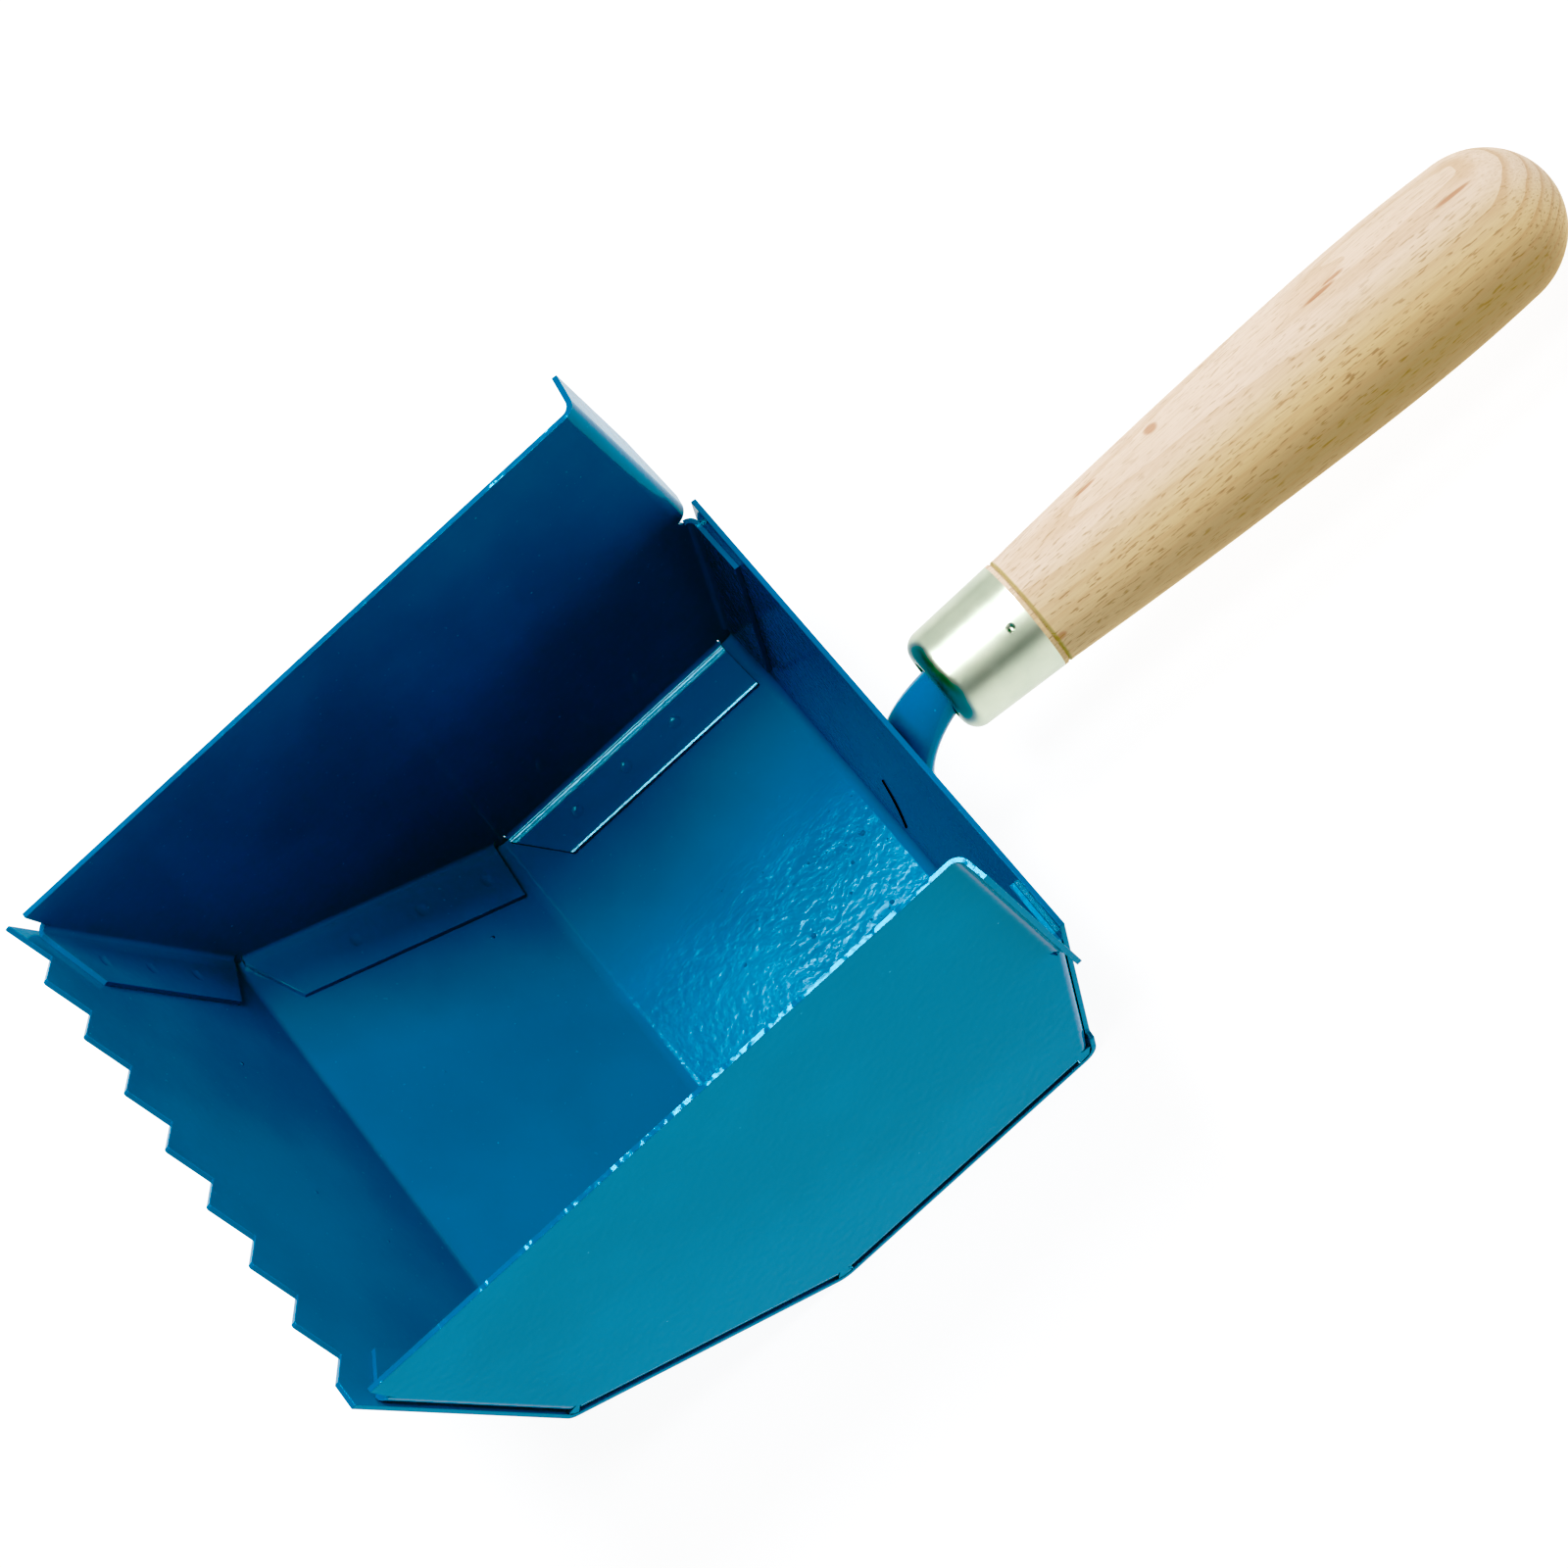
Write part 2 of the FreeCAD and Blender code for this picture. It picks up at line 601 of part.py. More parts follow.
def tang_section(centre, direction, half_width, half_thickness):
    """Closed section of the tang, wider across X than it is thick."""
    thick = direction.cross(V(1, 0, 0)).normalize()
    if half_width > half_thickness:
        curve = Part.Ellipse(centre + V(half_width, 0, 0), centre + thick * half_thickness, centre)
    else:
        curve = Part.Circle(centre, direction, half_width)
        curve.XAxis = V(1, 0, 0)
    return Part.Wire(curve.toShape())


def tang_heel():
    """Centre of the neck's bend, and where the bend ends above the back panel."""
    centre = on_axis(tang_arc_start()) - AXIS_SIDE * TANG_BEND_RADIUS
    radial = AXIS_SIDE * math.cos(tang_turn()) - AXIS * math.sin(tang_turn())
    return centre, centre + radial * TANG_BEND_RADIUS


def tang_neck():
    """Curved neck and flattened foot, lofted from the round spike down the back panel."""
    down, _ = panel_frame()
    centre, heel = tang_heel()
    sections = []
    for i in range(TANG_NECK_SECTIONS):
        share = i / (TANG_NECK_SECTIONS - 1)
        turn = tang_turn() * share
        radial = AXIS_SIDE * math.cos(turn) - AXIS * math.sin(turn)
        direction = AXIS * -math.cos(turn) - AXIS_SIDE * math.sin(turn)
        blend = share * share * (3 - 2 * share)
        half_width = TANG_RADIUS + (TANG_FOOT_HALF_WIDTH - TANG_RADIUS) * blend
        half_thickness = TANG_RADIUS + (TANG_FOOT_HALF_THICKNESS - TANG_RADIUS) * blend
        middle = centre + radial * TANG_BEND_RADIUS
        sections.append(tang_section(middle, direction, half_width, half_thickness))
    toe = heel + down * (TANG_FOOT_LENGTH - TANG_FOOT_END_LENGTH)
    sections.append(tang_section(toe, down, TANG_FOOT_HALF_WIDTH, TANG_FOOT_HALF_THICKNESS))
    return Part.makeLoft(sections, True, False), foot_end(toe, down)


def foot_end(centre, down):
    """Half ellipsoid that closes the foot."""
    ball = Part.makeSphere(1.0, V(0, 0, 0), V(0, 0, 1), 0, 90, 360)
    stretch = FreeCAD.Matrix()
    stretch.A11 = TANG_FOOT_HALF_WIDTH
    stretch.A22 = TANG_FOOT_HALF_THICKNESS
    stretch.A33 = TANG_FOOT_END_LENGTH
    dome = ball.transformGeometry(stretch)
    turn = FreeCAD.Rotation(V(0, 0, 1), down)
    dome.Placement = FreeCAD.Placement(centre, turn)
    return dome


def panel_slab(thickness):
    """Block on the inner side of the back panel's outer face."""
    down, outward = panel_frame()
    side = V(HALF_WIDTH, 0, 0)
    top = AXIS_ORIGIN - down * BACK_PANEL_LENGTH
    low = AXIS_ORIGIN + down * BACK_PANEL_LENGTH
    face = polygon([top - side, top + side, low + side, low - side])
    return face.extrude(outward * -thickness)


def spike():
    """Straight and tapered spike of the tang, inside the grip."""
    start = tang_arc_start()
    taper_start = start + SPIKE_STRAIGHT
    end = taper_start + SPIKE_TAPER
    return turned(line(on_axis(start), on_axis(start, TANG_RADIUS), on_axis(taper_start, TANG_RADIUS),
                       on_axis(end, SPIKE_TIP_RADIUS), on_axis(end), on_axis(start)))


def tang():
    """Forged tang: spike, curved neck and a foot bedded flat on the back panel."""
    neck, toe_end = tang_neck()
    body = spike().fuse([neck, toe_end])
    return body.cut(panel_slab(TANG_RADIUS)).removeSplitter()


def stadium(centre, down, half_width, length):
    """Closed outline with round ends, flat on a plane parallel to the back panel."""
    side = V(half_width, 0, 0)
    half_run = length / 2 - half_width
    top = centre - down * half_run
    bottom = centre + down * half_run
    edges = [
        Part.makeLine(top - side, bottom - side),
        Part.Arc(bottom - side, bottom + down * half_width, bottom + side).toShape(),
        Part.makeLine(bottom + side, top + side),
        Part.Arc(top + side, top - down * half_width, top - side).toShape(),
    ]
    return Part.Wire(edges)


def tang_weld(tang_shape):
    """Fillet bead round the tang's foot."""
    down, outward = panel_frame()
    _, heel = tang_heel()
    foot_height = TANG_FOOT_HALF_THICKNESS - TANG_FOOT_BEDDING
    foot_end_point = heel + down * TANG_FOOT_LENGTH - outward * foot_height
    centre = foot_end_point - down * ((WELD_LENGTH - WELD_LEG) / 2)
    base = stadium(centre, down, TANG_FOOT_HALF_WIDTH + WELD_LEG / 2, WELD_LENGTH)
    crest = stadium(centre + outward * WELD_LEG, down, TANG_FOOT_HALF_WIDTH - WELD_LEG / 4,
                    WELD_LENGTH - 2 * WELD_CREST_SETBACK)
    mound = Part.makeLoft([base, crest], True, True)
    return mound.cut(tang_shape)


def export(name, shape):
    """Write one node, made of one solid or a group of separate solids."""
    for solid in shape.Solids:
        if not solid.isValid():
            raise ValueError(name + " holds a bad solid")
    shape.exportStep("parts/" + name + ".step")
    box = shape.BoundBox
    print("%-26s solids %2d  volume %9.1f  x %7.1f %7.1f  y %7.1f %7.1f  z %7.1f %7.1f" % (
        name, len(shape.Solids), shape.Volume, box.XMin, box.XMax, box.YMin, box.YMax, box.ZMin, box.ZMax))


def main():
    os.makedirs("parts", exist_ok=True)
    tang_shape = tang()
    export("scoop_sheet", scoop_sheet())
    export("side_plate_right", side_plate(RIGHT_EAR))
    export("side_plate_left", mirrored(side_plate(LEFT_EAR)))
    for flange in FLANGES:
        for side, word in ((-1, "left"), (1, "right")):
            export("spot_welds_" + flange.name + "_" + word, Part.makeCompound(weld_row(flange, side)))
    export("tang", tang_shape)
    export("tang_weld", tang_weld(tang_shape))
    export("ferrule", ferrule())
    export("handle_grip", grip())


main()
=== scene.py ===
import math
import random

import bmesh
import bpy
from mathutils import Matrix, Vector
from mathutils.bvhtree import BVHTree


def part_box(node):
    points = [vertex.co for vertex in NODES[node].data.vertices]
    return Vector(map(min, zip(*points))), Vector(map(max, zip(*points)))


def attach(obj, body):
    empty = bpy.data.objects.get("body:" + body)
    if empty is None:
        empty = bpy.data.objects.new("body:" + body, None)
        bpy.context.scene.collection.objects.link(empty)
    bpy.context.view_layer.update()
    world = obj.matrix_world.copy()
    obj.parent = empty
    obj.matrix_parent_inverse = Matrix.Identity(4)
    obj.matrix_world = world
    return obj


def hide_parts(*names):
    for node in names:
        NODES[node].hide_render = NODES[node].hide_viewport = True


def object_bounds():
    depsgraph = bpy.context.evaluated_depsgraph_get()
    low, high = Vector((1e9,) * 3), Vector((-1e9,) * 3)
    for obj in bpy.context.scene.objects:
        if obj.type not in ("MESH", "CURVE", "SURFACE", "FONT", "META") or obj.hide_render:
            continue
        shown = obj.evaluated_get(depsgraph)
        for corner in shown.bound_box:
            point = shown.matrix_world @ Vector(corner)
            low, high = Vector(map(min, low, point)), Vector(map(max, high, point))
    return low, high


# Looks of the notched mortar scoop trowel, in metres: powder-coated sheet, plated ferrule, beech grip.
# +X is the right side, -Y the toothed lip, +Y the handle, +Z up out of the open rim.

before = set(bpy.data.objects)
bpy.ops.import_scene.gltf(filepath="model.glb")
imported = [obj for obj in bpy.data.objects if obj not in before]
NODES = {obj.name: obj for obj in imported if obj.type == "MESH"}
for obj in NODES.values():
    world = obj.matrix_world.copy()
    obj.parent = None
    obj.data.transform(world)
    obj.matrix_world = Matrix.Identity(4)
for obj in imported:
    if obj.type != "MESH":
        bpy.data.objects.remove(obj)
CAD_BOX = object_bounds()
MM = 0.001

# ---- Camera ----
CAMERA_PLACE = Vector((0.4260, 0.0820, 0.8263))
CAMERA_TARGET = Vector((0.0192, 0.0248, 0.0822))
CAMERA_ROLL = -49.41
CAMERA_LENS = 116.17
SENSOR_WIDTH = 36.0
CLIP_RANGE = (0.01, 20.0)

# ---- Light: softboxes over the scoop, cards round it, a sky and a pale floor ----
SCOOP_MIDDLE = Vector((0, 0, 40 * MM))
KEY_PLACE = Vector((-0.325, 0.02, 1.05))
KEY_SIZE = (0.34, 0.32)
KEY_POWER = 6.0
SHEEN_PLACE = Vector((-0.565, -0.06, 1.05))
SHEEN_SIZE = (0.12, 0.26)
SHEEN_POWER = 0.15
GLINT_PLACE = Vector((0.11, -0.06, 1.05))
GLINT_SIZE = (0.19, 0.24)
GLINT_POWER = 2.7
STRIP_PLACE = Vector((0.45, 0.14, 0.78))
STRIP_SIZE = (0.07, 1.0)
STRIP_POWER = 1.1
LEFT_CARD_PLACE = Vector((-1.2, 0.0, 0.75))
LEFT_CARD_SIZE = (1.2, 1.1)
LEFT_CARD_POWER = 3.0
BACK_CARD_PLACE = Vector((0.0, 1.3, 0.11))
BACK_CARD_SIZE = (1.2, 0.2)
BACK_CARD_POWER = 3.0
RIGHT_CARD_PLACE = Vector((1.2, 0.0, 0.15))
RIGHT_CARD_SIZE = (1.6, 0.24)
RIGHT_CARD_POWER = 0.6
ZENITH_STRENGTH = 0.03
HORIZON_STRENGTH = 0.5
HORIZON_TOP = 0.5
FLOOR_COLOUR = (0.16, 0.16, 0.16, 1.0)
FLOOR_GLOW = 0.9
FLOOR_SIZE = 6.0
FLOOR_GAP = 0.1 * MM

# ---- Grade: contrast curves for all light, and for red, green and blue ----
# The red curve keeps red out of the paint. In the darks, green loses less than red and blue do, so dark
# grey reflections turn green.
CONTRAST_CURVE = ((0.03, 0.009), (0.06, 0.035), (0.11, 0.1), (0.2, 0.19), (0.6, 0.68))
RED_CURVE = ((0.085, 0.0), (0.15, 0.12), (0.35, 0.36))
GREEN_CURVE = ((0.03, 0.02), (0.06, 0.052), (0.12, 0.12))
BLUE_CURVE = ((0.04, 0.01), (0.09, 0.035), (0.18, 0.145), (0.3, 0.28), (0.6, 0.58))

# ---- Paint ----
PAINT_DEEP = (0.0, 0.165, 0.37, 1.0)
PAINT_LIGHT = (0.0, 0.195, 0.42, 1.0)
PAINT_SPECK = (0.02, 0.36, 0.62, 1.0)
PAINT_DUST = (0.10, 0.50, 0.72, 1.0)
PAINT_SPECULAR_TINT = (0.5, 0.85, 1.0, 1.0)
CLOUD_SIZE = 45 * MM
SPECK_SIZE = 0.9 * MM
DUST_SPACING = 3.6 * MM
DUST_RARITY = 0.86
PEEL_SIZE = 1.7 * MM
PEEL_DEPTH = 0.042 * MM
FINE_PEEL_SIZE = 0.7 * MM
FINE_PEEL_DEPTH = 0.008 * MM
# Small bubbles are commonest round one place on the rear floor.
BUBBLE_SPACING = 5.5 * MM
BUBBLE_DEPTH = 0.3 * MM
BUBBLE_RARITY = 0.93
BUBBLE_CLUSTER = (0.0, 18 * MM, 1 * MM)
BUBBLE_CLUSTER_RADIUS = 30 * MM
BUBBLE_CLUSTER_GAIN = 0.45
EDGE_ROUNDING = 0.28 * MM
# Paint pools in the flanges' bends and hangs over the free edge of the rear flanges. This, the ragged rim
# and the bubbles are bump only, without geometry. POOL_START and FLANGE_EDGE are distances from the middle
# plane, and FLANGE_TOP is the height of the rear flanges' upper faces.
POOL_START = 53.6 * MM
POOL_WIDTH = 1.9 * MM
POOL_DEPTH = 0.38 * MM
FLANGE_EDGE = 44.3 * MM
FLANGE_TOP = 2.0 * MM
DROOP_WIDTH = 0.5 * MM
DROOP_DEPTH = 0.16 * MM
FLANGE_TOP_TOLERANCE = 0.1 * MM
# The cut edge round the open rim is a little ragged.
RIM_RAGGEDNESS = 0.45 * MM
RAGGED_SIZE = 5 * MM
SHARP_ANGLE = math.radians(40)
FLAT_ANGLE = math.radians(0.6)

# ---- Handle ----
HANDLE_DROOP = math.radians(5)
GRIP_RADIUS = 14 * MM
GROOVE_PLACE = 11.25 * MM
GROOVE_WIDTH = 0.5 * MM
BUTT_START = 112 * MM
BUTT_LENGTH = 12 * MM
FERRULE_DARK = (0.54, 0.60, 0.53, 1.0)
FERRULE_LIGHT = (0.61, 0.66, 0.58, 1.0)
SCRATCH_DEPTH = 0.0006 * MM
BEECH_PALE = (0.80, 0.67, 0.60, 1)
BEECH_ROSY = (0.75, 0.62, 0.54, 1)
# The tan is partly the beech's own tone and partly painted shade on the grip's +X side. The flank colour is
# painted shade along the +X edge.
BEECH_TAN_AND_SHADE = (0.67, 0.53, 0.355, 1)
BEECH_FLANK_SHADE = (0.47, 0.35, 0.20, 1)
BEECH_RING = (0.50, 0.29, 0.16, 1)
BEECH_FIBRE = (0.42, 0.25, 0.14, 1)
BEECH_FLECK = (0.33, 0.18, 0.08, 1)
BEECH_STAIN = (0.42, 0.16, 0.08, 1)
BEECH_GROOVE = (0.40, 0.34, 0.12, 1)
STAIN_STRENGTH = 0.5
# Growth rings run round a pith that lies below the grip, to its +X side.
PITH_OFFSET = (-30 * MM, 0, 75 * MM)
RING_SPACING = 2.6 * MM
RING_WANDER = 5 * MM
FIBRE_SIZE = 0.35 * MM
FIBRE_DEPTH = 0.02 * MM
FLECK_SIZE = 0.36 * MM

# Marks in the beech. Each has its station from the ferrule's middle and its width and length in millimetres,
# and its turn from the top towards +X in degrees.
WOOD_MARKS = (
    (47.6, -26.0, 3.2, 3.6),
    (32.0, -27.0, 1.2, 6.5),
    (85.2, -13.5, 1.0, 9.0),
    (89.0, -16.5, 0.8, 6.0),
    (113.9, -5.4, 1.0, 10.0),
    (12.0, 63.0, 2.2, 3.0),
)

# ---- Faults in the paint, on the inner faces of the folded strip ----
# Blisters on the rear floor: place across and along in millimetres, and radius.
BLISTERS = (
    (-6.4, 23.8, 0.75),
    (8.2, 19.7, 0.6),
    (2.5, 4.6, 0.7),
    (-2.6, -8.6, 0.55),
    (-3.3, 18.9, 0.5),
    (1.2, 15.0, 0.4),
    (13.5, 23.2, 0.45),
    (-9.4, 12.5, 0.4),
)
BLISTER_RISE = 0.45
BLISTER_RINGS = 5
BLISTER_SIDES = 14
BLISTER_SINK = 0.05 * MM
SEARCH_HEIGHT = 40 * MM
# Dust grains under the paint, scattered over the rear half of the rear floor and thicker towards its back.
# The area is given by its left front and right back corners. It and the radii are in millimetres.
GRAIN_COUNT = 44
GRAIN_AREA = ((-20.0, -4.0), (42.0, 27.0))
GRAIN_RADII = (0.18, 0.34)
GRAIN_CROWDING = 1.6
GRAIN_SEED = 11
# Seam on the back panel, opposite the tang's foot: a ridge coloured near black as painted shade of a slit.
# Given here are its two ends and its bow, across and up.
SEAM_TOP = Vector((-3.6 * MM, 0.0, 16.5 * MM))
SEAM_FOOT = Vector((1.3 * MM, 0.0, 5.6 * MM))
SEAM_BOW = 0.9 * MM
SEAM_WIDTH = 1.15 * MM
SEAM_HEIGHT = 0.25 * MM
SEAM_TIP_SHARE = 0.15
SEAM_STATIONS = 15


def aim(thing, place, target, roll=0.0):
    """Puts a light or the camera at a place, looking at a target, rolled by roll degrees."""
    thing.location = place
    look = (target - place).to_track_quat("-Z", "Y").to_matrix()
    turn = Matrix.Rotation(math.radians(roll), 3, "Z")
    thing.rotation_euler = (look @ turn).to_euler()


def add_object(name, data):
    """Adds an object with the given data to the scene."""
    thing = bpy.data.objects.new(name, data)
    bpy.context.scene.collection.objects.link(thing)
    return thing


def add_camera():
    """Camera of the main view."""
    data = bpy.data.cameras.new("camera")
    data.lens = CAMERA_LENS
    data.sensor_width = SENSOR_WIDTH
    data.clip_start, data.clip_end = CLIP_RANGE
    camera = add_object("camera", data)
    aim(camera, CAMERA_PLACE, CAMERA_TARGET, CAMERA_ROLL)
    bpy.context.scene.camera = camera


def set_grade():
    """Display transform, with the contrast of a product picture."""
    view = bpy.context.scene.view_settings
    view.view_transform = "Standard"
    view.use_curve_mapping = True
    shapes = (RED_CURVE, GREEN_CURVE, BLUE_CURVE, CONTRAST_CURVE)
    for curve, points in zip(view.curve_mapping.curves, shapes):
        for value, result in points:
            curve.points.new(value, result)
    view.curve_mapping.update()


def add_softbox(name, place, target, size, power):
    """Rectangular area light that faces a target."""
    data = bpy.data.lights.new(name, "AREA")
    data.shape = "RECTANGLE"
    data.size, data.size_y = size
    data.energy = power
    aim(add_object(name, data), place, target)


def add_lights():
    """Softboxes that face straight down, then a strip and cards that face the middle of the scoop."""
    overhead = (
        ("key", KEY_PLACE, KEY_SIZE, KEY_POWER),
        ("sheen", SHEEN_PLACE, SHEEN_SIZE, SHEEN_POWER),
        ("glint", GLINT_PLACE, GLINT_SIZE, GLINT_POWER),
    )
    for name, place, size, power in overhead:
        add_softbox(name, place, place - Vector((0, 0, 1)), size, power)
    around = (
        ("strip", STRIP_PLACE, STRIP_SIZE, STRIP_POWER),
        ("left_card", LEFT_CARD_PLACE, LEFT_CARD_SIZE, LEFT_CARD_POWER),
        ("back_card", BACK_CARD_PLACE, BACK_CARD_SIZE, BACK_CARD_POWER),
        ("right_card", RIGHT_CARD_PLACE, RIGHT_CARD_SIZE, RIGHT_CARD_POWER),
    )
    for name, place, size, power in around:
        add_softbox(name, place, SCOOP_MIDDLE, size, power)


class Graph:
    """Node tree of one material, with short calls that add a node and return its output."""

    def __init__(self, name):
        self.material = bpy.data.materials.new(name)
        self.material.use_nodes = True
        self.tree = self.material.node_tree
        self.shader = self.tree.nodes["Principled BSDF"]
        self.place = self.tree.nodes.new("ShaderNodeTexCoord").outputs["Object"]

    def feed(self, socket, value):
        """Links an output to a socket, or sets the socket to a plain value."""
        if isinstance(value, bpy.types.NodeSocket):
            self.tree.links.new(value, socket)
        else:
            socket.default_value = value

    def math(self, operation, a, b=0.0, c=None):
        """Result of a sum on one, two or three values."""
        node = self.tree.nodes.new("ShaderNodeMath")
        node.operation = operation
        self.feed(node.inputs[0], a)
        self.feed(node.inputs[1], b)
        if c is not None:
            self.feed(node.inputs[2], c)
        return node.outputs[0]

    def measure(self, operation, vector, point=(0, 0, 0)):
        """LENGTH of a vector, or its DISTANCE from a point."""
        node = self.tree.nodes.new("ShaderNodeVectorMath")
        node.operation = operation
        self.feed(node.inputs[0], vector)
        node.inputs[1].default_value = point
        return node.outputs["Value"]

    def moved(self, vector, location=(0, 0, 0), rotation=(0, 0, 0), scale=(1, 1, 1)):
        """Vector scaled, then turned, then moved."""
        node = self.tree.nodes.new("ShaderNodeMapping")
        self.feed(node.inputs["Vector"], vector)
        node.inputs["Location"].default_value = location
        node.inputs["Rotation"].default_value = rotation
        node.inputs["Scale"].default_value = scale
        return node.outputs[0]

    def noise(self, vector, size, detail=2.0, roughness=0.5, distortion=0.0):
        """Noise between 0 and 1, whose features are about size metres across."""
        node = self.tree.nodes.new("ShaderNodeTexNoise")
        self.feed(node.inputs["Vector"], vector)
        node.inputs["Scale"].default_value = 1 / size
        node.inputs["Detail"].default_value = detail
        node.inputs["Roughness"].default_value = roughness
        node.inputs["Distortion"].default_value = distortion
        return node.outputs[0]

    def cells(self, vector, size):
        """Distance to the nearest cell centre, in cell sizes, and a colour that is random per cell."""
        node = self.tree.nodes.new("ShaderNodeTexVoronoi")
        self.feed(node.inputs["Vector"], vector)
        node.inputs["Scale"].default_value = 1 / size
        return node.outputs["Distance"], node.outputs["Color"]

    def ramp(self, value, low, high, to_low=0.0, to_high=1.0):
        """Smooth step of a value from low to high, onto to_low to to_high."""
        node = self.tree.nodes.new("ShaderNodeMapRange")
        node.interpolation_type = "SMOOTHSTEP"
        self.feed(node.inputs["Value"], value)
        node.inputs["From Min"].default_value = low
        node.inputs["From Max"].default_value = high
        node.inputs["To Min"].default_value = to_low
        node.inputs["To Max"].default_value = to_high
        return node.outputs[0]

    def mix(self, factor, a, b):
        """Colour between a and b."""
        node = self.tree.nodes.new("ShaderNodeMix")
        node.data_type = "RGBA"
        self.feed(node.inputs[0], factor)
        self.feed(node.inputs[6], a)
        self.feed(node.inputs[7], b)
        return node.outputs[2]

    def near(self, vector, point, radius):
        """1 at a point, falling to 0 at a radius from it."""
        away = self.measure("DISTANCE", vector, point)
        return self.ramp(away, 0.0, radius, to_low=1.0, to_high=0.0)

    def split(self, vector):
        """X, Y and Z of a vector."""
        node = self.tree.nodes.new("ShaderNodeSeparateXYZ")
        self.feed(node.inputs[0], vector)
        return node.outputs[0], node.outputs[1], node.outputs[2]

    def bump(self, height, distance, under=None):
        """Surface normal with a height map of the given depth in metres."""
        node = self.tree.nodes.new("ShaderNodeBump")
        node.inputs["Distance"].default_value = distance
        self.feed(node.inputs["Height"], height)
        if under is not None:
            self.feed(node.inputs["Normal"], under)
        return node.outputs[0]

    def finish(self, **sockets):
        """Feeds the shader's sockets, named with underscores for spaces, and returns the material."""
        for name, value in sockets.items():
            self.feed(self.shader.inputs[name.replace("_", " ")], value)
        return self.material


def painted_slit_shade():
    """Mottled near-black navy: painted shade of a narrow slit, put on a low ridge."""
    g = Graph("painted_slit_shade")
    mottle = g.ramp(g.noise(g.place, size=0.6 * MM, detail=2), low=0.35, high=0.65)
    # Painted shade: near-black navy in place of the shadow inside a slit.
    colour = g.mix(mottle, (0.0, 0.004, 0.012, 1.0), (0.0, 0.02, 0.05, 1.0))
    gloss = g.ramp(mottle, low=0.0, high=1.0, to_low=0.8, to_high=0.95)
    normal = g.bump(mottle, distance=0.02 * MM)
    return g.finish(Base_Color=colour, Roughness=gloss, Normal=normal, Specular_IOR_Level=0.0)


def pooled_paint(g):
    """Surface normal of paint pooled in the bends, hung over flange edges and ragged on the rim."""
    across, _, up = g.split(g.place)
    half = g.math("ABSOLUTE", across)
    past_start = g.math("MAXIMUM", g.math("SUBTRACT", half, POOL_START), 0.0)
    pool = g.math("MINIMUM", g.math("DIVIDE", past_start, POOL_WIDTH), 1.0)
    normal = g.bump(g.math("POWER", pool, 2.0), POOL_DEPTH)
    from_edge = g.math("MINIMUM", g.math("SUBTRACT", half, FLANGE_EDGE), DROOP_WIDTH)
    droop = g.math("DIVIDE", from_edge, DROOP_WIDTH)
    on_flange = g.math("COMPARE", up, FLANGE_TOP, FLANGE_TOP_TOLERANCE)
    normal = g.bump(g.math("MULTIPLY", droop, on_flange), DROOP_DEPTH, normal)
    on_rim = g.math("GREATER_THAN", up, CAD_BOX[1].z - EDGE_ROUNDING)
    ragged = g.noise(g.place, RAGGED_SIZE, detail=2)
    return g.bump(g.math("MULTIPLY", ragged, on_rim), RIM_RAGGEDNESS, normal)


def paint_colour(g):
    """Clouded blue with light specks and dust."""
    cloud = g.ramp(g.noise(g.place, CLOUD_SIZE, detail=3), low=0.35, high=0.65)
    colour = g.mix(cloud, PAINT_DEEP, PAINT_LIGHT)
    speck = g.ramp(g.noise(g.place, SPECK_SIZE, detail=1), low=0.74, high=0.80, to_high=0.35)
    colour = g.mix(speck, colour, PAINT_SPECK)
    distance, tint = g.cells(g.place, DUST_SPACING)
    some_dust = g.math("GREATER_THAN", g.split(tint)[1], DUST_RARITY)
    dust = g.ramp(distance, low=0.03, high=0.07, to_low=0.6, to_high=0.0)
    return g.mix(g.math("MULTIPLY", dust, some_dust), colour, PAINT_DUST)


def bubbles(g):
    """Height of scattered small bubbles, which are commoner in the cluster."""
    distance, tint = g.cells(g.place, BUBBLE_SPACING)
    bubble = g.ramp(distance, low=0.02, high=0.085, to_low=1.0, to_high=0.0)
    cluster = g.near(g.place, BUBBLE_CLUSTER, BUBBLE_CLUSTER_RADIUS)
    threshold = g.math("SUBTRACT", BUBBLE_RARITY, g.math("MULTIPLY", cluster, BUBBLE_CLUSTER_GAIN))
    return g.math("MULTIPLY", bubble, g.math("GREATER_THAN", g.split(tint)[0], threshold))


def powder_coat(name, pooled=False):
    """Glossy blue powder coat with orange peel and bubbles, and on the side plates pooled paint."""
    g = Graph(name)
    peel = g.noise(g.place, PEEL_SIZE, detail=2, roughness=0.4)
    fine_peel = g.noise(g.place, FINE_PEEL_SIZE, detail=1)
    normal = g.bump(peel, PEEL_DEPTH, pooled_paint(g) if pooled else None)
    normal = g.bump(fine_peel, FINE_PEEL_DEPTH, normal)
    normal = g.bump(bubbles(g), BUBBLE_DEPTH, normal)
    patch = g.noise(g.place, size=18 * MM, detail=3)
    gloss = g.ramp(patch, low=0.3, high=0.7, to_low=0.11, to_high=0.15)
    return g.finish(Base_Color=paint_colour(g), Roughness=gloss, Normal=normal, Specular_IOR_Level=0.5,
                    Specular_Tint=PAINT_SPECULAR_TINT)


def handle_place(g):
    """Coordinates along the handle: X across, Y along its axis, Z above it, from the ferrule's middle."""
    low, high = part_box("ferrule")
    middle = Matrix.Rotation(HANDLE_DROOP, 3, "X") @ ((low + high) / 2)
    return g.moved(g.place, location=-middle, rotation=(HANDLE_DROOP, 0, 0))


